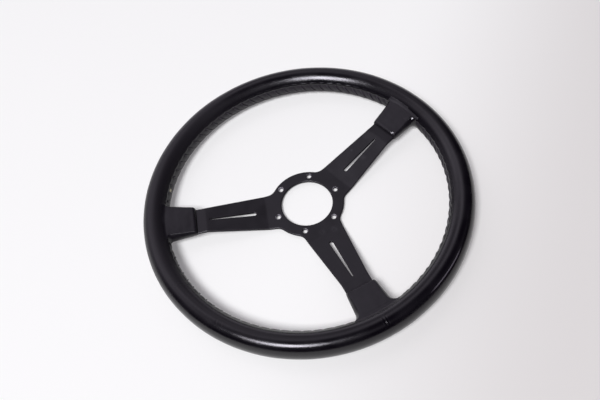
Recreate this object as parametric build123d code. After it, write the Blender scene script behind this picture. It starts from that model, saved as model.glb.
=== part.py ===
from build123d import *
import os
from math import atan, atan2, cos, degrees, pi, radians, sin, sqrt, tan

# Three-spoke steering wheel with a laced leather rim, in millimetres
# The origin is the centre of the hub's back face
# +Z points at the driver and -Y along the bottom spoke

# Padded leather rim, and the hoop inside it
rim_diameter = 380.0
grip_width = 28.5
grip_height = 31.0
grip_sides = 16
hoop_width = 14.0
hoop_thickness = 3.0

# Thread that laces the leather shut along the rim's inner side
lacing_width = 3.0
lacing_height = 0.8

# Hub, with the metal left outside and inside its countersunk holes
plate_thickness = 2.5
bolt_circle = 74.0
bolt_count = 6
bolt_hole_diameter = 5.1
countersink_diameter = 6.8
countersink_angle = 90.0
hub_margin = 2.6
bore_margin = 3.8
bore_chamfer = 0.5

# Spokes, of which the upper two rise to the sides and pass a little below the hub's centre
dish = 11.7
upper_spoke_angle = 17.2
upper_spoke_drop = 2.2
spoke_root_width = 45.0
spoke_end_width = 31.4
root_fillet = 12.0
bend_setback = 5.0
bend_radius = 8.0
flat_run = 44.5
edge_chamfer = 0.4

# Tapered slot in each spoke
slot_setback = 19.0
slot_root_width = 4.4
slot_tip_width = 1.5
slot_margin = 15.0

# Padded covers over the spoke ends
cover_length = 33.5
cover_skin = 2.2
cover_rim_width = 43.5
cover_rim_height = 12.5
cover_fillet = 8.0
cover_corner = 2.0

# Clearances
moulding_gap = 0.1
thread_gap = 0.25
cover_gap = 0.1

# Places that follow from the sizes above
rim_radius = (rim_diameter - grip_width) / 2
rim_inner_radius = rim_diameter / 2 - grip_width
rim_mid = plate_thickness / 2 + dish
hub_radius = (bolt_circle + countersink_diameter) / 2 + hub_margin
bore_radius = (bolt_circle - countersink_diameter) / 2 - bore_margin
hoop_outer_radius = rim_radius + hoop_width / 2
hoop_top = rim_mid - plate_thickness / 2
bend_root = hub_radius + bend_setback
bend_end = rim_inner_radius - flat_run
cover_start = rim_inner_radius - cover_length
slot_start = hub_radius + slot_setback
slot_end = cover_start - slot_margin
slope = atan(dish / (bend_end - bend_root))
rise = radians(upper_spoke_angle)

# Each spoke lies along the X axis of its own plane, whose origin is the point nearest the hub's centre
drop_side = upper_spoke_drop * sin(rise)
drop_down = upper_spoke_drop * cos(rise)
spokes = {
    "right": Plane((drop_side, -drop_down, 0), x_dir=(cos(rise), sin(rise), 0)),
    "left": Plane((-drop_side, -drop_down, 0), x_dir=(-cos(rise), sin(rise), 0)),
    "bottom": Plane((0, 0, 0), x_dir=(0, -1, 0)),
}


def ring(section):
    return revolve(Plane.XZ * Pos(rim_radius, rim_mid) * section, Axis.Z)


def grip_section(grow=0.0):
    step = 2 * pi / grip_sides
    half_width = (grip_width / 2 + grow) / cos(step / 2)
    half_height = (grip_height / 2 + grow) / cos(step / 2)
    turns = [(i + 0.5) * step for i in range(grip_sides)]
    return Polygon(*[(half_width * cos(turn), half_height * sin(turn)) for turn in turns], align=None)


def two_sided(side):
    return Polygon(*[(along, -half) for along, half in side], *reversed(side), align=None)


def blade_outline(fit=0.0):
    half_root = spoke_root_width / 2 + fit
    half_end = spoke_end_width / 2 + fit
    half_foot = half_root + (half_root - half_end) * hub_radius / (bend_end - hub_radius)
    return two_sided([(0, half_foot), (bend_end, half_end), (rim_radius + hoop_width, half_end)])


def bent_profile(fit=0.0):
    half = plate_thickness / 2 + fit
    shift = half * tan(slope / 2)
    low = plate_thickness / 2
    reach = rim_radius + hoop_width
    inner = (bend_root - shift, low + half)
    outer = (bend_root + shift, low - half)
    upper_outer = (bend_end - shift, rim_mid + half)
    upper_inner = (bend_end + shift, rim_mid - half)
    corners = [(0, low - half), outer, upper_inner, (reach, rim_mid - half)]
    corners += [(reach, rim_mid + half), upper_outer, inner, (0, low + half)]
    profile = Polygon(*corners, align=None)
    for radius, bends in ((bend_radius, (inner, upper_inner)), (bend_radius + 2 * half, (outer, upper_outer))):
        near = [min(profile.vertices(), key=lambda v: abs(Vector(*bend) - Vector(v.X, v.Y))) for bend in bends]
        profile = fillet(near, radius)
    return profile


def bent_sheet(fit=0.0):
    return extrude(Plane.XZ * bent_profile(fit), amount=hub_radius, both=True)


def upright(outline):
    return extrude(Pos(0, 0, -grip_height) * outline, amount=2 * (rim_mid + grip_height), dir=(0, 0, 1))


def tab_pocket(plane, fit):
    bar = upright(blade_outline(fit)) & bent_sheet(fit)
    return (plane * bar) & upright(Circle(hoop_outer_radius + fit))


def stacked(radius, low, high):
    return Pos(0, 0, (low + high) / 2) * Cylinder(radius, high - low)


# Spoke plate
def plate_outline():
    blank = Circle(hub_radius)
    for plane in spokes.values():
        blank += plane * blade_outline()
    corners = [v for v in blank.vertices() if abs(Vector(v.X, v.Y).length - hub_radius) < 0.01]
    blank = fillet(corners, root_fillet)
    return blank & Circle(hoop_outer_radius)


def slot():
    root = Pos(slot_start, 0) * Circle(slot_root_width / 2)
    tip = Line((slot_end, -slot_tip_width / 2), (slot_end, slot_tip_width / 2))
    return make_hull(root.edges() + tip.edges())


def bolt_hole():
    drill = Cylinder(bolt_hole_diameter / 2, 4 * plate_thickness)
    depth = countersink_diameter / 2 / tan(radians(countersink_angle / 2))
    sink = Cone(0, countersink_diameter / 2, depth)
    return Pos(0, 0, plate_thickness) * (drill + Pos(0, 0, -depth / 2) * sink)


def front_edges(plate):
    facing = [f for f in plate.faces() if f.normal_at().Z > cos(2 * slope)]
    walls = [f for f in plate.faces() if abs(f.normal_at().Z) < sin(slope) / 2]
    wall_middles = [e.center() for wall in walls for e in wall.edges()]
    edges = [e for face in facing for e in face.edges()]
    return [e for e in edges if any((e.center() - middle).length < 0.001 for middle in wall_middles)]


def bore_edge(plate):
    circles = plate.edges().filter_by(GeomType.CIRCLE)
    rims = [e for e in circles if abs(e.radius - bore_radius) < 0.01]
    return max(rims, key=lambda e: e.center().Z)


def make_spoke_plate():
    sheet = stacked(bend_root, 0, plate_thickness)
    for plane in spokes.values():
        sheet += plane * bent_sheet()
    plate = upright(plate_outline()) & sheet
    plate = chamfer(front_edges(plate), edge_chamfer)
    plate -= Cylinder(bore_radius, 4 * plate_thickness)
    plate = chamfer(bore_edge(plate), bore_chamfer)
    for place in PolarLocations(bolt_circle / 2, bolt_count):
        plate -= place * bolt_hole()
    for plane in spokes.values():
        plate -= plane * upright(slot())
    return plate


# Hoop and padded grip
def hoop_section(fit=0.0):
    middle = hoop_top - hoop_thickness / 2 - rim_mid
    return Pos(0, middle) * Rectangle(hoop_width + 2 * fit, hoop_thickness + 2 * fit)


def lacing_section():
    base = -grip_width / 2 - thread_gap
    return Polygon((base, lacing_width / 2), (base - lacing_height, 0), (base, -lacing_width / 2), align=None)


def make_rim_grip():
    grip = ring(grip_section()) - ring(hoop_section(moulding_gap))
    for plane in spokes.values():
        grip -= tab_pocket(plane, moulding_gap)
    return grip


def spoke_azimuth(name):
    plane = spokes[name]
    reach = sqrt(rim_inner_radius**2 - plane.origin.length**2)
    end = plane.from_local_coords(Vector(reach, 0, 0))
    return degrees(atan2(end.Y, end.X)) % 360


def make_lacing(first, second):
    margin = degrees((cover_rim_width / 2 + cover_fillet) / rim_inner_radius)
    start = spoke_azimuth(first) + margin
    sweep = (spoke_azimuth(second) - margin - start) % 360
    face = Rot(0, 0, start) * (Plane.XZ * Pos(rim_radius, rim_mid) * lacing_section())
    return revolve(face, Axis.Z, sweep)


# Spoke covers
def cover_outline(plane):
    half_start = spoke_end_width / 2 + cover_skin
    half_rim = cover_rim_width / 2
    half_far = half_rim + (half_rim - half_start) / cover_length * (rim_radius - rim_inner_radius)
    blank = plane * two_sided([(cover_start, half_start), (rim_radius, half_far)])
    share = cover_rim_height / grip_height
    seat_radius = rim_radius - grip_width / 2 * sqrt(1 - share**2)
    band = Circle(rim_radius) - Circle(seat_radius)
    half_window = half_rim + 2 * cover_fillet
    window = plane * Pos(rim_radius, 0) * Rectangle(2 * cover_length, 2 * half_window)
    blank += band & window
    corners = [v for v in blank.vertices() if abs(Vector(v.X, v.Y).length - seat_radius) < 0.01]
    inner = [v for v in corners if abs(plane.to_local_coords(Vector(v.X, v.Y, 0)).Y) < half_window - cover_fillet]
    blank = fillet(inner, cover_fillet)
    hub_end = sorted(blank.vertices(), key=lambda v: plane.to_local_coords(Vector(v.X, v.Y, 0)).X)[:2]
    return chamfer(hub_end, cover_corner)


def cover_wedge():
    half_start = plate_thickness / 2 + cover_skin
    half_rim = cover_rim_height / 2
    profile = two_sided([(cover_start, half_start), (rim_inner_radius, half_rim), (rim_radius, half_rim)])
    return extrude(Plane.XZ * Pos(0, rim_mid) * profile, amount=cover_rim_width, both=True)


def make_spoke_cover(name):
    plane = spokes[name]
    cover = upright(cover_outline(plane)) & (plane * cover_wedge())
    cover -= ring(grip_section(cover_gap))
    cover -= tab_pocket(plane, cover_gap)
    return cover


def main():
    nodes = {
        "spoke_plate": make_spoke_plate(),
        "rim_hoop": ring(hoop_section()),
        "rim_grip": make_rim_grip(),
        "lacing_top": make_lacing("right", "left"),
        "lacing_left": make_lacing("left", "bottom"),
        "lacing_right": make_lacing("bottom", "right"),
    }
    for name in spokes:
        nodes[name + "_spoke_cover"] = make_spoke_cover(name)
    os.makedirs("parts", exist_ok=True)
    for name, shape in nodes.items():
        export_step(shape, f"parts/{name}.step")
        print(name, round(shape.volume), "mm3")


main()
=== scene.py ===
import math

import bmesh
import bpy
from mathutils import Matrix, Vector, noise


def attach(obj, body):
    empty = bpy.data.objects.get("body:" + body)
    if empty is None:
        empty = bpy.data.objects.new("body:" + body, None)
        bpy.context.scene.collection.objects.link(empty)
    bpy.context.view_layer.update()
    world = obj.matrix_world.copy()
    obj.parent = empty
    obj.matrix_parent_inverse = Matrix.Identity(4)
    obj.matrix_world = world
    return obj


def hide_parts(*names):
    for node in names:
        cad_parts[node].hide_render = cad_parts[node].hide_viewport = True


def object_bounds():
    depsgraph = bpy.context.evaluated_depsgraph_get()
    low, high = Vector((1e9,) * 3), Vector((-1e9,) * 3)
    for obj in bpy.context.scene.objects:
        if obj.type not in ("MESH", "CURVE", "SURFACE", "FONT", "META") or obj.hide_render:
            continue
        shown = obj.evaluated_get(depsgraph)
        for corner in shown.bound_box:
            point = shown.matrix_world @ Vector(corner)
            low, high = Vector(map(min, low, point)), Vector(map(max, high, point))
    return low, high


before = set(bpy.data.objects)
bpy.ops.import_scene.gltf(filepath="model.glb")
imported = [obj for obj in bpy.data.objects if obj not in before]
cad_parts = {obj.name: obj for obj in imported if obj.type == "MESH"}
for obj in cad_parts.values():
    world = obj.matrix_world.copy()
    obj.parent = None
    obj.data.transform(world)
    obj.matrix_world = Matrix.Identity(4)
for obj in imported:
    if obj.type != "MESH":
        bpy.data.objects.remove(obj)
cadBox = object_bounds()
scene = bpy.context.scene
scene.view_settings.view_transform = "Standard"

wheel = {
    "halfWidth": 0.01425,   # of the rim's section
    "crestShift": 0.0016,   # how far outside the middle the section is thickest
    "spokeLift": 17.2,      # degrees that the upper spokes rise
    "spokeDrop": 0.0022,    # how far their middle lines pass below the hub's centre
    "stitchCount": 92,      # stitches in a whole turn of the lacing
    "stitchLean": -0.8,     # how far a stitch runs back on its way across, in stitches
}
# the rim reaches the sides, the top and the bottom of the CAD box
floorHeight, topHeight = cadBox[0][2], cadBox[1][2]
rimMid = (topHeight + floorHeight) / 2
halfHeight = (topHeight - floorHeight) / 2
rimRadius = cadBox[1][0] - wheel["halfWidth"]
innerRadius = rimRadius - wheel["halfWidth"]
degreeLength = math.radians(rimRadius)      # along the middle of the rim
stitchAngle = 360 / wheel["stitchCount"]    # degrees
weldReach = 0.000001                        # vertices nearer than this are joined
print("frame loaded", [round(v, 4) for corner in cadBox for v in corner])


# a place on the rim: azimuth round the wheel, turn round the tube (0 outside, 90 on top, 180 inside)
def rimPoint(azimuth, turn, lift=0.0):
    a, t = math.radians(azimuth), math.radians(turn)
    out, up = Vector((math.cos(a), math.sin(a), 0)), Vector((0, 0, 1))
    normal = out * (math.cos(t) / wheel["halfWidth"]) + up * (math.sin(t) / halfHeight)
    radius = rimRadius + wheel["halfWidth"] * math.cos(t) + wheel["crestShift"] * math.sin(t) ** 2
    return out * radius + up * (rimMid + halfHeight * math.sin(t)) + normal.normalized() * lift


def angleBetween(a, b):
    return (a - b + 180) % 360 - 180


def between(one, two, share):
    return one + (two - one) * share


def bell(distance, width):
    return math.exp(-(distance / width) ** 2)


# 1 at whole numbers and 0 halfway between them
def wave(share):
    return 0.5 + 0.5 * math.cos(2 * math.pi * share)


def rampUp(value, low, high):
    share = min(max((value - low) / (high - low), 0.0), 1.0)
    return share * share * (3 - 2 * share)


def heading(azimuth, elevation):
    a, e = math.radians(azimuth), math.radians(elevation)
    return Vector((math.cos(e) * math.cos(a), math.cos(e) * math.sin(a), math.sin(e)))


def placedFrame(origin, xWay, zWay):
    turn = Matrix((xWay, zWay.cross(xWay), zWay)).transposed().to_4x4()
    return Matrix.Translation(origin) @ turn


def bridgeRings(bm, rings):
    for one, two in zip(rings, rings[1:]):
        edges = set()
        for ring in (one, two):
            members = set(ring)
            edges.update(e for v in ring for e in v.link_edges if e.other_vert(v) in members)
        bmesh.ops.bridge_loops(bm, edges=list(edges))


def finishPiece(name, bm, material, replacedNode):
    bmesh.ops.remove_doubles(bm, verts=bm.verts, dist=weldReach)
    bmesh.ops.recalc_face_normals(bm, faces=bm.faces)
    mesh = bpy.data.meshes.new(name)
    bm.to_mesh(mesh)
    bm.free()
    mesh.materials.append(material)
    for face in mesh.polygons:
        face.use_smooth = True
    piece = bpy.data.objects.new(name, mesh)
    scene.collection.objects.link(piece)
    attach(piece, "root")
    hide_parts(replacedNode)
    print(name, len(mesh.polygons), "faces")
    return piece


# node helpers, in which an input is either a value or another node's socket
def addNode(tree, kind, inputs=(), **values):
    node = tree.nodes.new(kind)
    for key, value in values.items():
        setattr(node, key, value)
    for socket, value in inputs:
        if isinstance(value, bpy.types.NodeSocket):
            tree.links.new(value, node.inputs[socket])
        else:
            node.inputs[socket].default_value = value
    return node


def newGroup(name, inputs, outputs):
    group = bpy.data.node_groups.new(name, "ShaderNodeTree")
    for socket, kind in inputs:
        group.interface.new_socket(socket, in_out="INPUT", socket_type="NodeSocket" + kind)
    for socket, kind in outputs:
        group.interface.new_socket(socket, in_out="OUTPUT", socket_type="NodeSocket" + kind)
    return group, group.nodes.new("NodeGroupInput"), group.nodes.new("NodeGroupOutput")


def newMaterial(name):
    material = bpy.data.materials.new(name)
    material.use_nodes = True
    tree = material.node_tree
    return material, tree, tree.nodes["Principled BSDF"]


def mapped(tree, value, low, high, toLow=0.0, toHigh=1.0):
    sockets = (("Value", value), ("From Min", low), ("From Max", high),
               ("To Min", toLow), ("To Max", toHigh))
    return addNode(tree, "ShaderNodeMapRange", sockets, interpolation_type="SMOOTHSTEP").outputs["Result"]


def mixedValue(tree, share, one, two):
    return addNode(tree, "ShaderNodeMix", ((0, share), (2, one), (3, two)), data_type="FLOAT").outputs[0]


def mixedTone(tree, share, one, two):
    return addNode(tree, "ShaderNodeMix", ((0, share), (6, one), (7, two)), data_type="RGBA").outputs[2]


def maths(tree, operation, *values):
    return addNode(tree, "ShaderNodeMath", enumerate(values), operation=operation).outputs["Value"]


# for the operations on vectors that give a plain value
def vectorMaths(tree, operation, *vectors):
    return addNode(tree, "ShaderNodeVectorMath", enumerate(vectors), operation=operation).outputs["Value"]


def noised(tree, place, scale, detail, roughness=0.5):
    sockets = (("Vector", place), ("Scale", scale), ("Detail", detail), ("Roughness", roughness))
    return addNode(tree, "ShaderNodeTexNoise", sockets).outputs["Fac"]


def dressShader(tree, shader, look, tone, rough, height, normal=None):
    bump = addNode(tree, "ShaderNodeBump", (("Strength", look["bump"]), ("Distance", look["bumpDepth"]),
                                            ("Height", height)))
    if normal is not None:
        tree.links.new(normal, bump.inputs["Normal"])
    shader.inputs["IOR"].default_value = look["ior"]
    tree.links.new(tone, shader.inputs["Base Color"])
    tree.links.new(rough, shader.inputs["Roughness"])
    tree.links.new(bump.outputs["Normal"], shader.inputs["Normal"])


# grain of pebbles between fine creases, with slow patches of tone
leatherGrain = {
    "scaleSockets": ("Grain Scale", "Fold Scale", "Patch Scale"),
    "creaseWidth": 0.25,
    "fineDetail": 3.0,
    "foldDetail": 2.0,
    "patchDetail": 3.0,
    "fineShare": 0.4,        # of fine noise in the grain, the rest being pebbles
    "foldShare": 0.72,       # of folds in the height, the rest being grain
    "patchRange": (0.3, 0.7),
}


def makeLeatherGroup():
    g = leatherGrain
    inputs = [("Vector", "Vector")] + [(socket, "Float") for socket in g["scaleSockets"]]
    group, entry, leave = newGroup("leatherGrain", inputs, [("Height", "Float"), ("Patches", "Float")])
    place = entry.outputs["Vector"]
    grainScale, foldScale, patchScale = (entry.outputs[socket] for socket in g["scaleSockets"])
    cells = addNode(group, "ShaderNodeTexVoronoi", (("Vector", place), ("Scale", grainScale)),
                    feature="DISTANCE_TO_EDGE")
    pebbles = mapped(group, cells.outputs["Distance"], 0.0, g["creaseWidth"])
    fine = noised(group, place, grainScale, g["fineDetail"])
    folds = noised(group, place, foldScale, g["foldDetail"])
    patches = noised(group, place, patchScale, g["patchDetail"])
    grain = mixedValue(group, g["fineShare"], pebbles, fine)
    group.links.new(mixedValue(group, g["foldShare"], grain, folds), leave.inputs["Height"])
    group.links.new(mapped(group, patches, *g["patchRange"]), leave.inputs["Patches"])
    return group


leatherGroup = makeLeatherGroup()


# a painted highlight along a crease: a thin pale line round the wheel's axis, through a given place and
# fading out to both sides of it
def makeHighlightLineGroup(line):
    group, entry, leave = newGroup("highlightLine", [("Vector", "Vector")], [("Share", "Float")])
    place, middle = entry.outputs["Vector"], line["place"]
    axes = addNode(group, "ShaderNodeSeparateXYZ", ((0, place),)).outputs
    level = addNode(group, "ShaderNodeCombineXYZ", ((0, axes["X"]), (1, axes["Y"]))).outputs[0]
    radius = vectorMaths(group, "LENGTH", level)
    section = addNode(group, "ShaderNodeCombineXYZ", ((0, radius), (2, axes["Z"]))).outputs[0]
    across = vectorMaths(group, "DISTANCE", section, Vector((middle.xy.length, 0, middle.z)))
    along = vectorMaths(group, "DISTANCE", place, middle)
    thin = mapped(group, across, line["core"], line["width"], 1.0, 0.0)
    short = mapped(group, along, line["fadeStart"], line["reach"], 1.0, 0.0)
    group.links.new(maths(group, "MULTIPLY", thin, short), leave.inputs["Share"])
    return group


def makeLeather(name, look):
    material, tree, shader = newMaterial(name)
    place = addNode(tree, "ShaderNodeTexCoord").outputs["Object"]
    scales = zip(leatherGrain["scaleSockets"], look["scales"])
    grain = addNode(tree, "ShaderNodeGroup", [("Vector", place), *scales], node_tree=leatherGroup)
    patches = grain.outputs["Patches"]
    tone = mixedTone(tree, patches, look["dark"], look["light"])
    rough = mapped(tree, patches, 0.0, 1.0, look["roughLow"], look["roughHigh"])
    # vertex marks; the dulled one also paints the leather lighter as a painted sheen
    for mark in ("worn", "dullAndSheen", "raw"):   # vertex attributes
        if mark in look:
            share = addNode(tree, "ShaderNodeAttribute", attribute_name=mark).outputs["Fac"]
            rough = mixedValue(tree, share, rough, look[mark]["rough"])
            tone = mixedTone(tree, share, tone, look[mark]["tone"])
    # a painted glint: a pale spot that stands for a highlight
    if "glint" in look:
        glint = look["glint"]
        away = vectorMaths(tree, "DISTANCE", place, glint["place"])
        share = mapped(tree, away, glint["core"], glint["reach"], 1.0, 0.0)
        tone = mixedTone(tree, share, tone, glint["tone"])
    # a painted highlight along a crease, drawn as a thin pale line
    if "highlightLine" in look:
        line = look["highlightLine"]
        drawn = addNode(tree, "ShaderNodeGroup", [("Vector", place)], node_tree=makeHighlightLineGroup(line))
        tone = mixedTone(tree, drawn.outputs["Share"], tone, line["tone"])
    dressShader(tree, shader, look, tone, rough, grain.outputs["Height"])
    return material


# satin paint: fine speckle, slow patches, pale scuffs, and holes rubbed bare with a painted highlight
# round their countersinks
def makePaintGroup(look):
    outputs = [(name, "Float") for name in ("Height", "Patches", "Scuffs", "BareAndGlint")]
    group, entry, leave = newGroup("satinPaint", [("Vector", "Vector")], outputs)
    place = entry.outputs["Vector"]
    rubbed = noised(group, place, *look["rubNoise"])
    broken = mapped(group, rubbed, *look["scuffRange"])
    scuffs = mapped(group, rubbed, *look["strewnRange"], 0.0, look["strewnShare"])
    for spot, reach, share in look["scuffs"]:
        near = mapped(group, vectorMaths(group, "DISTANCE", place, spot), 0.0, reach, share, 0.0)
        scuffs = maths(group, "MULTIPLY_ADD", near, broken, scuffs)
    fromHole = 1.0   # farther than any hole
    for k in range(look["holeCount"]):
        spot = Matrix.Rotation(2 * math.pi * k / look["holeCount"], 3, "Z") @ Vector(look["hole"])
        fromHole = maths(group, "MINIMUM", vectorMaths(group, "DISTANCE", place, spot), fromHole)
    ring = mapped(group, fromHole, *look["bareGlintRing"], 1.0, 0.0)
    bare = maths(group, "MULTIPLY", ring, mapped(group, rubbed, *look["bareGlintRange"]))
    patches = mapped(group, noised(group, place, *look["patchNoise"]), *look["patchRange"])
    group.links.new(noised(group, place, *look["speckleNoise"]), leave.inputs["Height"])
    group.links.new(patches, leave.inputs["Patches"])
    group.links.new(scuffs, leave.inputs["Scuffs"])
    group.links.new(bare, leave.inputs["BareAndGlint"])
    return group


def makePaint(name, look):
    material, tree, shader = newMaterial(name)
    coords = addNode(tree, "ShaderNodeTexCoord").outputs
    group = makePaintGroup(look)
    paint = addNode(tree, "ShaderNodeGroup", [("Vector", coords["Object"])], node_tree=group).outputs
    tone = mixedTone(tree, paint["Patches"], look["dark"], look["light"])
    tone = mixedTone(tree, paint["Scuffs"], tone, look["pale"])
    # pale round the holes: rubbed bare, and a painted highlight on the countersinks
    tone = mixedTone(tree, paint["BareAndGlint"], tone, look["bare"])
    rough = mapped(tree, paint["Patches"], 0.0, 1.0, look["roughLow"], look["roughHigh"])
    upward = addNode(tree, "ShaderNodeSeparateXYZ", ((0, coords["Normal"]),)).outputs["Z"]
    level = mapped(tree, maths(tree, "ABSOLUTE", upward), *look["wallRange"])
    rough = mixedValue(tree, level, look["roughWall"], rough)
    bevel = addNode(tree, "ShaderNodeBevel", [("Radius", look["edgeRound"])], samples=look["edgeSamples"])
    rounded = bevel.outputs["Normal"]
    kept = vectorMaths(tree, "DOT_PRODUCT", rounded, coords["Normal"])
    edge = mapped(tree, kept, *look["edgeRange"], 1.0, 0.0)
    rough = mixedValue(tree, edge, rough, look["roughEdge"])
    dressShader(tree, shader, look, tone, rough, paint["Height"], rounded)
    return material


# drawn metal: long fine scratches round the axis
def makeMetal(name, look):
    outputs = [("Tone", "Color"), ("Roughness", "Float")]
    group, entry, leave = newGroup("drawnMetal", [("Vector", "Vector")], outputs)
    sockets = [("Vector", entry.outputs["Vector"]), ("Scale", look["scale"]),
               ("Distortion", look["distortion"]), ("Detail", look["detail"])]
    rings = addNode(group, "ShaderNodeTexWave", sockets, wave_type="RINGS", rings_direction="Z")
    lines = rings.outputs["Fac"]
    rough = mapped(group, lines, 0.0, 1.0, look["roughLow"], look["roughHigh"])
    group.links.new(mixedTone(group, lines, look["dark"], look["light"]), leave.inputs["Tone"])
    group.links.new(rough, leave.inputs["Roughness"])
    material, tree, shader = newMaterial(name)
    place = addNode(tree, "ShaderNodeTexCoord").outputs["Object"]
    finish = addNode(tree, "ShaderNodeGroup", [("Vector", place)], node_tree=group)
    shader.inputs["Metallic"].default_value = 1.0
    tree.links.new(finish.outputs["Tone"], shader.inputs["Base Color"])
    tree.links.new(finish.outputs["Roughness"], shader.inputs["Roughness"])
    return material


# a pale yellow spot painted on the rim's laced gap and on its thread: a painted glint
paintedGlint = {
    "place": rimPoint(146.2, 170.0, 0.0002), "core": 0.00112, "reach": 0.0028,
    "tone": (0.62, 0.56, 0.36, 1),
}
rimLeather = makeLeather("rimLeather", {
    "scales": (1000.0, 330.0, 30.0),   # of its grain, folds and patches
    "dark": (0.0032, 0.0025, 0.0042, 1), "light": (0.0052, 0.0043, 0.0064, 1),
    "roughLow": 0.17, "roughHigh": 0.24, "bump": 0.28, "bumpDepth": 0.0002, "ior": 1.5,
    "dullAndSheen": {"tone": (0.0075, 0.0062, 0.0088, 1), "rough": 0.40},   # dulled where it is held most, and painted lighter there as a painted sheen
    "raw": {"tone": (0.0125, 0.0100, 0.0145, 1), "rough": 0.55},     # in the laced gap
    "glint": paintedGlint,
    "highlightLine": {
        "place": rimPoint(-62.0, 60.0), "core": 0.000225, "width": 0.0009,
        "fadeStart": 0.017, "reach": 0.034, "tone": (0.11, 0.10, 0.115, 1),
    },
})
coverLeather = makeLeather("coverLeather", {
    "scales": (1300.0, 160.0, 45.0),
    "dark": (0.0055, 0.0045, 0.0068, 1), "light": (0.0085, 0.0072, 0.0102, 1),
    "roughLow": 0.34, "roughHigh": 0.42, "bump": 0.2, "bumpDepth": 0.0002, "ior": 1.5,
    "worn": {"tone": (0.0045, 0.0036, 0.0056, 1), "rough": 0.17},    # rubbed to a shine
})
blackThread = makeLeather("blackThread", {
    "scales": (3000.0, 900.0, 220.0),
    "dark": (0.015, 0.0120, 0.0175, 1), "light": (0.030, 0.0245, 0.0345, 1),
    "roughLow": 0.40, "roughHigh": 0.55, "bump": 0.35, "bumpDepth": 0.0002, "ior": 1.5,
    "glint": paintedGlint,
})
satinBlack = makePaint("satinBlack", {
    "dark": (0.0042, 0.0033, 0.0054, 1), "light": (0.0068, 0.0056, 0.0084, 1),
    "pale": (0.05, 0.048, 0.053, 1), "bare": (0.25, 0.24, 0.26, 1),
    "roughLow": 0.40, "roughHigh": 0.50, "roughWall": 0.85, "roughEdge": 0.26,
    "edgeRound": 0.0018, "edgeSamples": 8, "bump": 0.12, "bumpDepth": 0.0001, "ior": 1.5,
    "speckleNoise": (2200.0, 2.0),       # scale, detail and roughness of each noise
    "patchNoise": (55.0, 4.0),
    "rubNoise": (260.0, 6.0, 0.7),
    "patchRange": (0.3, 0.7),            # where in its noise each of them sets in and is full
    "scuffRange": (0.3, 0.65),
    "bareGlintRange": (0.42, 0.56),
    "strewnRange": (0.66, 0.86), "strewnShare": 0.35,
    "wallRange": (0.2, 0.5),      # how far the normal points up or down, from wall to face
    "edgeRange": (0.88, 0.99),    # how well the rounded normal keeps to the true one, edge to face
    "holeCount": 6, "hole": (0.037, 0, 0.0022),
    "bareGlintRing": (0.0031, 0.0038), # from a hole's middle, pale (rubbed bare, and a painted highlight on the countersink) to whole paint
    "scuffs": (                   # place, reach and strength, on the right spoke and the hub
        ((0.1026, 0.0409, 0.010), 0.007, 0.35), ((0.0779, 0.0346, 0.0078), 0.0025, 0.9),
        ((0.0845, 0.0180, 0.0088), 0.006, 0.3),
        ((-0.0022, -0.0439, 0.0025), 0.0055, 0.5), ((0.0111, -0.0465, 0.0025), 0.0055, 0.5),
    ),
})
bareMetal = makeMetal("bareMetal", {
    "dark": (0.42, 0.42, 0.43, 1), "light": (0.58, 0.58, 0.60, 1), "roughLow": 0.32, "roughHigh": 0.48,
    "scale": 700.0, "distortion": 6.0, "detail": 3.0,
})
print("materials made")


# padded leather rim, with turns and edges in degrees round the tube
rimSleeve = {
    "spinSteps": 72,
    "cuts": 19,
    "turnRuns": ((136.0, 166.0, 2.5), (166.0, 196.0, 5.0), (196.0, 226.0, 2.5), (226.0, 496.0, 7.5)),
    "gather": 3.0,           # how much denser the sections lie at a seam or fold
    "gatherReach": 1.8,      # degrees round the wheel
    "gatherSteps": 7200,
    "bandMiddle": 181.0,     # the laced gap
    "bandHalf": 23.0,
    "bandDepth": 0.0001,
    "bandEdge": (-2.5, 1.5),   # from inside its edge to outside
    "rawEdge": (-1.0, 3.0),
    "grooveDepth": 0.0009,   # where the thread pulls the leather in
    "grooveSharpness": 2,
    "lipHeight": 0.00052,
    "lipPlace": 5.0,         # past the gap's edge
    "lipWidth": 4.0,
    "lipEnd": 22.0,
    "pucker": 0.0005,        # how far the stitches pull the lips in
    "puckerPlace": 2.5,
    "puckerWidth": 5.0,
    "puckerSharpness": 3,
    "seams": (               # azimuth, from turn, to turn, lines across it (place, height, width)
        (-89.0, 62.0, 150.0, ((0.0004, 0.00012, 0.0006), (-0.0012, -0.00012, 0.0006),
                              (0.0018, -0.0001, 0.0006), (-0.0032, 0.00006, 0.0006))),
        (0.5, -70.0, 38.0, ((0.0, -0.0005, 0.0009),)),
    ),
    "seamFade": 8.0,
    "seamReach": 3.0,        # degrees round the wheel
    "folds": (               # azimuth, slant, from turn, to turn, height
        (-146.6, 0.035, 60, 98, 0.00016), (-144.8, 0.03, 62, 92, 0.00012),
        (133.0, 0.06, 60, 100, 0.0001), (142.0, 0.07, 62, 98, 0.0001), (-156.0, 0.05, 55, 85, 0.00006),
    ),
    "foldFade": (6.0, 8.0),  # outside and inside its ends
    "foldReach": 6.0,        # degrees round the wheel
    "foldWidth": 0.0006,
    "foldRidge": (0.7, 0.0011, 0.0007),   # share of the height, place and width beside the fold
    "swell": 0.0001,
    "swellScale": 45.0,
    "heldSheenMiddle": 142.0,     # where hands have dulled the leather and a lighter tone paints a sheen, degrees round the wheel
    "heldSheenHalf": (32.0, 58.0),
}


# azimuths of the rim's sections, closer together at the seams and folds
def drawnTogether(count):
    r = rimSleeve
    spots = [mark[0] for mark in r["seams"] + r["folds"]]
    steps = [360 * k / r["gatherSteps"] for k in range(r["gatherSteps"])]
    nearness = [max(bell(angleBetween(step, spot), r["gatherReach"]) for spot in spots) for step in steps]
    weights = [1 + r["gather"] * near for near in nearness]
    share, walked, places = sum(weights) / count, 0.0, []
    for step, weight in zip(steps, weights):
        if walked >= len(places) * share:
            places.append(step)
        walked += weight
    return places


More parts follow.
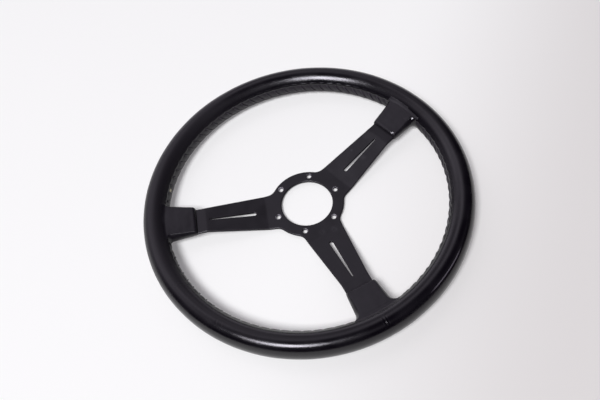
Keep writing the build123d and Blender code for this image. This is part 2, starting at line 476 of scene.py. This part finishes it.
def marksNear(azimuth, marks, reach):
    return [mark for mark in marks if abs(angleBetween(azimuth, mark[0])) < reach]


def seamOffset(azimuth, turn, seams):
    fade, offset = rimSleeve["seamFade"], 0.0
    for seam, low, high, lines in seams:
        along = angleBetween(azimuth, seam) * degreeLength
        around = angleBetween(turn, 90.0) + 90   # from -90 to 270
        share = rampUp(around, low - fade, low + fade)
        share *= 1 - rampUp(around, high - fade, high + fade)
        offset += share * sum(height * bell(along - away, width) for away, height, width in lines)
    return offset


def foldOffset(azimuth, turn, folds):
    outside, inside = rimSleeve["foldFade"]
    ridge, away, width = rimSleeve["foldRidge"]
    offset = 0.0
    for start, slant, low, high, height in folds:
        along = angleBetween(azimuth, start - slant * (turn - low)) * degreeLength
        share = rampUp(turn, low - outside, low + inside)
        share *= 1 - rampUp(turn, high - inside, high + outside)
        groove = bell(along, rimSleeve["foldWidth"])
        offset += height * share * (ridge * bell(along - away, width) - groove)
    return offset


# the floor of the laced gap with a groove under each stitch, and the lips beside it
def lipOffset(azimuth, turn):
    r, lean = rimSleeve, wheel["stitchLean"]
    side = angleBetween(turn, r["bandMiddle"])
    past = abs(side) - r["bandHalf"]
    if past > r["lipEnd"]:
        return 0.0
    stitch = azimuth / stitchAngle - 0.5
    crossed = min(max(side / (2 * r["bandHalf"]), -0.5), 0.5)
    groove = wave(stitch - lean * crossed) ** r["grooveSharpness"]
    pulled = wave(stitch - lean * math.copysign(0.5, side)) ** r["puckerSharpness"]
    sunk = (r["bandDepth"] + r["grooveDepth"] * groove) * (1 - rampUp(past, *r["bandEdge"]))
    lip = r["lipHeight"] * bell(past - r["lipPlace"], r["lipWidth"])
    return lip - sunk - r["pucker"] * pulled * bell(past - r["puckerPlace"], r["puckerWidth"])


# one section spun round the axis and cut finer along the rim
def makeTube(bm, turnOf):
    turns = []
    for low, high, step in rimSleeve["turnRuns"]:
        turns += [low + k * step for k in range(round((high - low) / step))]
    ring = bmesh.ops.create_circle(bm, segments=len(turns), radius=1.0)["verts"]
    for vert, turn in zip(ring, turns):
        vert.co = rimPoint(0, turn)
        vert[turnOf] = turn
    bmesh.ops.spin(bm, geom=ring + list(bm.edges), cent=(0, 0, 0), axis=(0, 0, 1), angle=2 * math.pi,
                   steps=rimSleeve["spinSteps"], use_merge=True)
    bmesh.ops.remove_doubles(bm, verts=bm.verts, dist=weldReach)
    lengthwise = [e for e in bm.edges if e.verts[0][turnOf] == e.verts[1][turnOf]]
    bmesh.ops.subdivide_edges(bm, edges=lengthwise, cuts=rimSleeve["cuts"])


def makeRimSleeve():
    r = rimSleeve
    bm = bmesh.new()
    turnOf, raw, dullAndSheen = (bm.verts.layers.float.new(layer) for layer in ("turn", "raw", "dullAndSheen"))
    makeTube(bm, turnOf)
    sections = r["spinSteps"] * (r["cuts"] + 1)
    azimuths = drawnTogether(sections)
    seams = [marksNear(azimuth, r["seams"], r["seamReach"]) for azimuth in azimuths]
    folds = [marksNear(azimuth, r["folds"], r["foldReach"]) for azimuth in azimuths]
    for vert in bm.verts:
        turn = vert[turnOf] % 360
        k = round(math.degrees(math.atan2(vert.co.y, vert.co.x)) * sections / 360) % sections
        azimuth = azimuths[k]
        lift = r["swell"] * noise.noise(rimPoint(azimuth, turn) * r["swellScale"])
        lift += seamOffset(azimuth, turn, seams[k]) + foldOffset(azimuth, turn, folds[k])
        lift += lipOffset(azimuth, turn)
        vert.co = rimPoint(azimuth, turn, lift)
        vert.co.z = max(vert.co.z, floorHeight)
        vert[dullAndSheen] = 1 - rampUp(abs(angleBetween(azimuth, r["heldSheenMiddle"])), *r["heldSheenHalf"])
        vert[raw] = 1 - rampUp(abs(angleBetween(turn, r["bandMiddle"])) - r["bandHalf"], *r["rawEdge"])
    piece = finishPiece("rimSleeve", bm, rimLeather, "rim_grip")


makeRimSleeve()


# each spoke's own frame: X along it from the hub, Y across it, the rim's middle plane at Z 0
def spokeFrame(name):
    up = Vector((0, 0, 1))
    if name == "bottom":
        along, origin = Vector((0, -1, 0)), Vector((0, 0, 0))
    else:
        side = 1 if name == "right" else -1
        lift = math.radians(wheel["spokeLift"])
        along = Vector((side * math.cos(lift), math.sin(lift), 0))
        origin = wheel["spokeDrop"] * Vector((side * math.sin(lift), -math.cos(lift), 0))
    return placedFrame(origin + up * rimMid, along, up)


# padded covers over the spoke ends, with places along the spoke and heights over the rim's middle plane
spokeCover = {
    "start": 0.128,
    "nose": 0.0034,          # how far the hub end takes to round out
    "noseHalf": 0.0163,
    "noseHeight": 0.0018,
    "heightStart": 0.0046,
    "heightRim": 0.0086,
    "flareEdge": 0.1640,
    "flareLimit": 0.985,     # share of the flare's arc that is used
    "blendStart": 0.1628,    # from here the top sweeps up into the rim
    "blendTurn": 132.0,      # the turn of the tube where it arrives
    "endTurn": 116.0,        # the turn where it ends, under the rim's leather
    "sink": 0.0014,
    "slopeStep": 0.0001,     # for measuring the tube's slope
    "edgeTilt": 40.0,        # degrees from level at which the side begins
    "edgeRound": 0.0007,
    "pocketHalf": 0.0162,
    "pocketHeight": 0.00135,
    "pocketInset": 0.0002,
    "arcSteps": 7,
    "edgeSteps": 4,
    "flatSteps": 24,
    "noseSteps": 7,
    "stations": 60,
    "crown": 0.0003,
    "rubCore": 0.6,          # share of a rubbed corner's reach that is rubbed right down
    "uneven": 0.00012,
    "unevenScale": 160.0,
    "bowStart": 0.138,       # from here on it bows with the rim
}
# for each cover, its two sides (half width at the hub end and at the rim, flare into the rim),
# ridges in the leather (from, to, width, height),
# corners rubbed down (edge, middle, direction, tilt, reach),
# places rubbed to a shine (place, reach), and the shine where it runs into the rim
coverShapes = {
    "right": {
        "plus": (0.0178, 0.0235, 0.0050), "minus": (0.0171, 0.0181, 0.0100),
        "ridges": (((0.1540, -0.0110), (0.1590, -0.0150), 0.0008, 0.0004),
                   ((0.1618, -0.0110), (0.1620, 0.0150), 0.0007, 0.0001),
                   ((0.1646, -0.0110), (0.1648, 0.0170), 0.0007, 0.00006)),
        "rubbed": (((0.1318, -0.0112), (0.1309, -0.0119), (-0.84, -0.55), 32.0, 0.0026),
                   ((0.1608, -0.0150), (0.1603, -0.0166), (-0.85, -0.53), 33.0, 0.0028)),
        "worn": (((0.1305, -0.0124), 0.0035), ((0.1603, -0.0168), 0.0045)), "blendShine": 0.2,
    },
    "left": {
        "plus": (0.0166, 0.0182, 0.0060), "minus": (0.0193, 0.0268, 0.0050),
        "ridges": (((0.1645, -0.0180), (0.1643, 0.0130), 0.0007, 0.00006),),
        "rubbed": (), "worn": (), "blendShine": 0.15,
    },
    "bottom": {
        "plus": (0.0187, 0.0226, 0.0115), "minus": (0.0166, 0.0194, 0.0100),
        "ridges": (((0.1630, -0.0150), (0.1632, 0.0170), 0.0007, 0.0001),
                   ((0.1595, -0.0080), (0.1599, 0.0150), 0.0007, 0.0001)),
        "rubbed": (), "worn": (), "blendShine": 0.2,
    },
}
blendEnd = rimPoint(0, spokeCover["blendTurn"]).x
coverEnd = rimPoint(0, spokeCover["endTurn"]).x


def coverSide(s, side):
    c = spokeCover
    startHalf, rimHalf, flare = side
    half = between(startHalf, rimHalf, (s - c["start"]) / (innerRadius - c["start"]))
    into = min((s - c["flareEdge"] + flare) / flare, c["flareLimit"])
    if into > 0:
        half += flare * (1 - math.sqrt(1 - into ** 2))
    return half


# height of the tube's surface above the rim's middle plane
def tubeHeight(radius):
    wide, shift, out = wheel["halfWidth"], wheel["crestShift"], radius - rimRadius
    across = (wide - math.sqrt(wide ** 2 - 4 * shift * (out - shift))) / (2 * shift)
    return halfHeight * math.sqrt(max(1 - across ** 2, 0.0))


# a straight wedge that bends up, meets the tube along its own slope and slips under its leather
def coverHeight(s):
    c = spokeCover
    slope = (c["heightRim"] - c["heightStart"]) / (innerRadius - c["start"])
    if s <= c["blendStart"]:
        return c["heightStart"] + slope * (s - c["start"])
    if s >= blendEnd:
        return tubeHeight(s) - c["sink"] * (s - blendEnd) / (coverEnd - blendEnd)
    run = blendEnd - c["blendStart"]
    low, high = c["heightStart"] + slope * (c["blendStart"] - c["start"]), tubeHeight(blendEnd)
    steep = (tubeHeight(blendEnd + c["slopeStep"]) - high) / c["slopeStep"]
    share = (s - c["blendStart"]) / run
    square, cube = share ** 2, share ** 3
    return (low * (2 * cube - 3 * square + 1) + run * slope * (cube - 2 * square + share)
            + high * (3 * square - 2 * cube) + run * steep * (cube - square))


# one section through a cover: level faces, a tight edge, and sides that round over
def crossSection(plus, minus, height):
    c = spokeCover
    tilt = math.radians(90 - c["edgeTilt"])
    small = min(c["edgeRound"], height / 3)   # tighter where the cover is thin
    big = (height - small * (1 - math.sin(tilt))) / math.sin(tilt)
    quarter = []
    for k in range(c["arcSteps"] + 1):
        angle = tilt * k / c["arcSteps"]
        quarter.append((big * (math.cos(angle) - 1), big * math.sin(angle)))
    for k in range(1, c["edgeSteps"] + 1):
        angle = between(tilt, math.pi / 2, k / c["edgeSteps"])
        quarter.append(((big - small) * math.cos(tilt) - big + small * math.cos(angle),
                        (big - small) * math.sin(tilt) + small * math.sin(angle)))
    near = [(plus + across, up) for across, up in quarter]
    far = [(-minus - across, up) for across, up in reversed(quarter)]
    shares = [k / c["flatSteps"] for k in range(1, c["flatSteps"])]
    flat = [(between(near[-1][0], far[0][0], share), height) for share in shares]
    upper = near + flat + far
    lower = [(across, -up) for across, up in reversed(upper[1:-1])]
    return [Vector((0, across, up)) for across, up in upper + lower]


# rings from the inner end of the spoke's pocket back to the nose, round it and out to the rim
def coverRings(bm, shape):
    c = spokeCover
    pocket = (c["pocketHalf"], c["pocketHalf"], c["pocketHeight"])
    stations = [(coverEnd, *pocket), (c["start"] + c["pocketInset"], *pocket)]
    for k in range(c["noseSteps"]):
        angle = math.pi / 2 * k / c["noseSteps"]
        s, out = c["start"] + c["nose"] * (1 - math.cos(angle)), math.sin(angle)
        plus = between(c["noseHalf"], coverSide(s, shape["plus"]), out)
        minus = between(c["noseHalf"], coverSide(s, shape["minus"]), out)
        stations.append((s, plus, minus, between(c["noseHeight"], coverHeight(s), out)))
    for k in range(c["stations"] + 1):
        s = between(c["start"] + c["nose"], coverEnd, k / c["stations"])
        stations.append((s, coverSide(s, shape["plus"]), coverSide(s, shape["minus"]), coverHeight(s)))
    rings = []
    for s, plus, minus, height in stations:
        points = crossSection(plus, minus, height)
        ring = bmesh.ops.create_circle(bm, segments=len(points), radius=1.0)["verts"]
        for vert, point in zip(ring, points):
            vert.co = point + Vector((s, 0, 0))
        rings.append(ring)
    return rings


def nearLine(spot, start, end):
    run = Vector(end) - Vector(start)
    share = min(max((spot - Vector(start)).dot(run) / run.length_squared, 0.0), 1.0)
    return (spot - Vector(start) - run * share).length


# the upper face at one spot, with its crown, its ridges and its rubbed corners
def upperFace(spot, height, shape):
    c = spokeCover
    for start, end, width, rise in shape["ridges"]:
        height += rise * bell(nearLine(spot, start, end), width)
    arch = 1 - (spot.y / coverSide(spot.x, shape["plus"])) ** 2
    height += c["crown"] * arch * (1 - rampUp(spot.x, c["blendStart"], blendEnd))
    for edge, middle, way, tilt, reach in shape["rubbed"]:
        past = (spot - Vector(edge)).dot(Vector(way))
        limit = max(coverHeight(edge[0]) - math.tan(math.radians(tilt)) * past, c["noseHeight"])
        near = 1 - rampUp((spot - Vector(middle)).length, c["rubCore"] * reach, reach)
        height -= near * max(height - limit, 0.0)
    return height


def makeCover(name):
    c, shape = spokeCover, coverShapes[name]
    bm = bmesh.new()
    worn = bm.verts.layers.float.new("worn")
    rings = coverRings(bm, shape)
    bridgeRings(bm, rings + rings[:1])
    for vert in sum(rings[2:], []):   # all but the pocket
        spot = vert.co.xy
        if vert.co.z > 0:
            vert.co.z = upperFace(spot, vert.co.z, shape)
        vert.co.z += c["uneven"] * noise.noise(vert.co * c["unevenScale"])
        vert.co.x -= spot.y ** 2 / (2 * innerRadius) * rampUp(spot.x, c["bowStart"], innerRadius)
        shine = shape["blendShine"] * rampUp(spot.x, c["blendStart"], blendEnd)
        shine += sum(bell((spot - Vector(place)).length, reach) for place, reach in shape["worn"])
        vert[worn] = min(shine, 1.0)
    bmesh.ops.transform(bm, matrix=spokeFrame(name), verts=bm.verts)
    piece = finishPiece(name + "Cover", bm, coverLeather, name + "_spoke_cover")


for spokeName in coverShapes:
    makeCover(spokeName)


# lacing: a slanting row of thick stitches over the gap on the rim's inner side
lacing = {
    "upperTurn": 153.0,
    "lowerTurn": 209.0,
    "threadRadius": 0.0010,
    "lift": -0.00045,        # of the thread's middle over the gap
    "sunk": 0.0016,          # how deep its ends go into the leather
    "sinkSharpness": 3,
    "threadSides": 7,
    "threadSteps": 8,
    "margin": 10.0,          # degrees left free beside each spoke
    "stray": 0.5,            # degrees that the thread wanders
    "strayScale": (0.6, 60.0),   # along the rim and up it
}


def makeStrand(bm, azimuth):
    last, lean = lacing["threadSteps"] - 1, wheel["stitchLean"] * stitchAngle
    path = []
    for k in range(last + 1):
        share = k / last
        turn = between(lacing["upperTurn"], lacing["lowerTurn"], share)
        sunk = lacing["sunk"] * (1 - math.sin(math.pi * share)) ** lacing["sinkSharpness"]
        path.append(rimPoint(azimuth + lean * (share - 0.5), turn, lacing["lift"] - sunk))
    rings = []
    for k, spot in enumerate(path):
        toward = (path[min(k + 1, last)] - path[max(k - 1, 0)]).normalized()
        matrix = Matrix.Translation(spot) @ toward.to_track_quat("Z", "Y").to_matrix().to_4x4()
        ring = bmesh.ops.create_circle(bm, segments=lacing["threadSides"], radius=lacing["threadRadius"],
                                       cap_ends=k in (0, last), matrix=matrix)["verts"]
        rings.append(ring)
    bridgeRings(bm, rings)


def makeLacing(name, node, start, end):
    bm = bmesh.new()
    firstCell = math.ceil(start / stitchAngle)
    count = math.floor(end / stitchAngle) - firstCell
    makeStrand(bm, (firstCell + 0.5) * stitchAngle)
    strand = list(bm.verts) + list(bm.edges) + list(bm.faces)
    bmesh.ops.spin(bm, geom=strand, cent=(0, 0, 0), axis=(0, 0, 1), steps=count - 1,
                   angle=math.radians((count - 1) * stitchAngle), use_duplicate=True)
    alongScale, upScale = lacing["strayScale"]
    for vert in bm.verts:
        azimuth = math.degrees(math.atan2(vert.co.y, vert.co.x))
        stray = lacing["stray"] * noise.noise(Vector((azimuth * alongScale, vert.co.z * upScale, 0)))
        vert.co = Matrix.Rotation(math.radians(stray), 3, "Z") @ vert.co
    finishPiece(name, bm, blackThread, node)


def spokeAzimuth(name):
    spot = spokeFrame(name) @ Vector((innerRadius, 0, 0))
    return math.degrees(math.atan2(spot.y, spot.x)) % 360


rightAt, leftAt, bottomAt = (spokeAzimuth(name) for name in ("right", "left", "bottom"))
for pieceName, nodeName, start, end in (
    ("lacingTop", "lacing_top", rightAt, leftAt),
    ("lacingLeft", "lacing_left", leftAt, bottomAt),
    ("lacingRight", "lacing_right", bottomAt, rightAt + 360),
):
    makeLacing(pieceName, nodeName, start + lacing["margin"], end - lacing["margin"])


# carried-over metal
for nodeName, material in (("spoke_plate", satinBlack), ("rim_hoop", bareMetal)):
    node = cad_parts[nodeName]
    node.data.materials.clear()
    node.data.materials.append(material)


# plain floor, painted darker towards the right: painted shade where the light falls off
paleFloor = {
    "half": 4.0,
    "shadedTones": ((0.955, 0.985, 0.90, 1), (0.735, 0.735, 0.668, 1)),
    "shadedGlowTones": ((0.95, 0.925, 0.965, 1), (0.735, 0.695, 0.725, 1)),
    "fadeWay": (0.682, -0.731, 0.0),
    "fade": (0.0, 0.334),    # metres along that way, where the one turns into the other
    "glowShare": 0.2,        # of its own light in what the camera and reflections show of it
    "glowStrength": 1.12,
    "rough": 0.9,
    "specular": 0.1,
}


def makeFloorMaterial():
    f = paleFloor
    material, tree, shader = newMaterial("paleFloor")
    place = addNode(tree, "ShaderNodeTexCoord").outputs["Object"]
    # painted shade: the floor's colour and its glow darken along fadeWay
    fade = mapped(tree, vectorMaths(tree, "DOT_PRODUCT", place, f["fadeWay"]), *f["fade"])
    tree.links.new(mixedTone(tree, fade, *f["shadedTones"]), shader.inputs["Base Color"])
    shader.inputs["Roughness"].default_value = f["rough"]
    shader.inputs["Specular IOR Level"].default_value = f["specular"]
    path = addNode(tree, "ShaderNodeLightPath").outputs
    seen = maths(tree, "MAXIMUM", path["Is Camera Ray"], path["Is Glossy Ray"])
    share = maths(tree, "MULTIPLY", seen, f["glowShare"])
    glow = addNode(tree, "ShaderNodeEmission", (("Color", mixedTone(tree, fade, *f["shadedGlowTones"])),
                                                ("Strength", f["glowStrength"])))
    both = addNode(tree, "ShaderNodeMixShader", ((0, share), (1, shader.outputs["BSDF"]),
                                                 (2, glow.outputs["Emission"])))
    tree.links.new(both.outputs["Shader"], tree.nodes["Material Output"].inputs["Surface"])
    return material


def makeFloor():
    bm = bmesh.new()
    bmesh.ops.create_grid(bm, x_segments=1, y_segments=1, size=paleFloor["half"])
    bmesh.ops.translate(bm, verts=bm.verts, vec=(0, 0, floorHeight))
    mesh = bpy.data.meshes.new("floor")
    bm.to_mesh(mesh)
    bm.free()
    mesh.materials.append(makeFloorMaterial())
    floor = bpy.data.objects.new("floor", mesh)
    scene.collection.objects.link(floor)


# soft lights all round, which the leather and the paint reflect
studioSky = {
    "tone": (1.0, 0.93, 1.07, 1),
    "seenStrength": 0.95,    # where the camera sees it beyond the floor
    "sharpness": 36.0,       # of each soft light
    "softLights": {          # azimuths, elevation and strength
        "lowRight": ((40.0,), 5.0, 0.4),
        "lowBack": ((60.0, 80.0, 100.0), 5.0, 0.8),
        "lowLeft": ((120.0, 140.0), 5.0, 0.3),
        "middleBack": ((90.0, 110.0), 20.0, 0.3),
        "right": ((60.0,), 37.0, 0.6),
        "left": ((125.0,), 37.0, 1.1),
        "highBack": ((90.0,), 55.0, 1.0),
        "highLeft": ((120.0, 150.0), 55.0, 0.4),
        "highFront": ((-90.0,), 55.0, 0.3),
        "sides": ((-25.0, 180.0), 37.0, 0.15),
    },
}


def makeSky():
    world = bpy.data.worlds.new("studioSky")
    scene.world = world
    world.use_nodes = True
    tree = world.node_tree
    place = addNode(tree, "ShaderNodeTexCoord").outputs["Generated"]
    total = 0.0
    for azimuths, elevation, strength in studioSky["softLights"].values():
        for azimuth in azimuths:
            facing = vectorMaths(tree, "DOT_PRODUCT", place, heading(azimuth, elevation))
            lobe = maths(tree, "POWER", maths(tree, "MAXIMUM", facing, 0.0), studioSky["sharpness"])
            total = maths(tree, "MULTIPLY_ADD", lobe, strength, total)
    seen = addNode(tree, "ShaderNodeLightPath").outputs["Is Camera Ray"]
    back = tree.nodes["Background"]
    tree.links.new(mixedValue(tree, seen, total, studioSky["seenStrength"]), back.inputs["Strength"])
    back.inputs["Color"].default_value = studioSky["tone"]


# large square light, high at the front left
keyLight = {
    "azimuth": -142.0,
    "elevation": 60.0,
    "distance": 8.0,
    "size": 2.80,
    "widthWay": (0.89, -0.45, 0.0),   # the way that its lower edge runs
    "power": 580.0,
    "tone": (1.0, 0.97, 1.07),
}


def makeKey():
    light = bpy.data.lights.new("keyLight", "AREA")
    light.shape = "SQUARE"
    light.size = keyLight["size"]
    light.energy = keyLight["power"]
    light.color = keyLight["tone"]
    key = bpy.data.objects.new("keyLight", light)
    scene.collection.objects.link(key)
    back, wide = heading(keyLight["azimuth"], keyLight["elevation"]), Vector(keyLight["widthWay"])
    wide = (wide - back * wide.dot(back)).normalized()
    key.matrix_world = placedFrame(back * keyLight["distance"], wide, back)


# the place that the photo was taken from
cameraView = {
    "place": (-0.11951, -0.42694, 0.72208),
    "azimuth": -104.731,     # from the wheel towards the camera
    "elevation": 58.018,
    "roll": -13.595,
    "lens": 43.735,
    "sensorWidth": 36.0,
}


def makeCamera():
    data = bpy.data.cameras.new("camera")
    data.sensor_width = cameraView["sensorWidth"]
    data.sensor_fit = "HORIZONTAL"
    data.lens = cameraView["lens"]
    camera = bpy.data.objects.new("camera", data)
    scene.collection.objects.link(camera)
    back = heading(cameraView["azimuth"], cameraView["elevation"])
    level = Vector((0, 0, 1)).cross(back).normalized()
    right = Matrix.Rotation(math.radians(cameraView["roll"]), 3, back) @ level
    camera.matrix_world = placedFrame(Vector(cameraView["place"]), right, back)
    scene.camera = camera


makeFloor()
makeSky()
makeKey()
makeCamera()
print("studio ready")
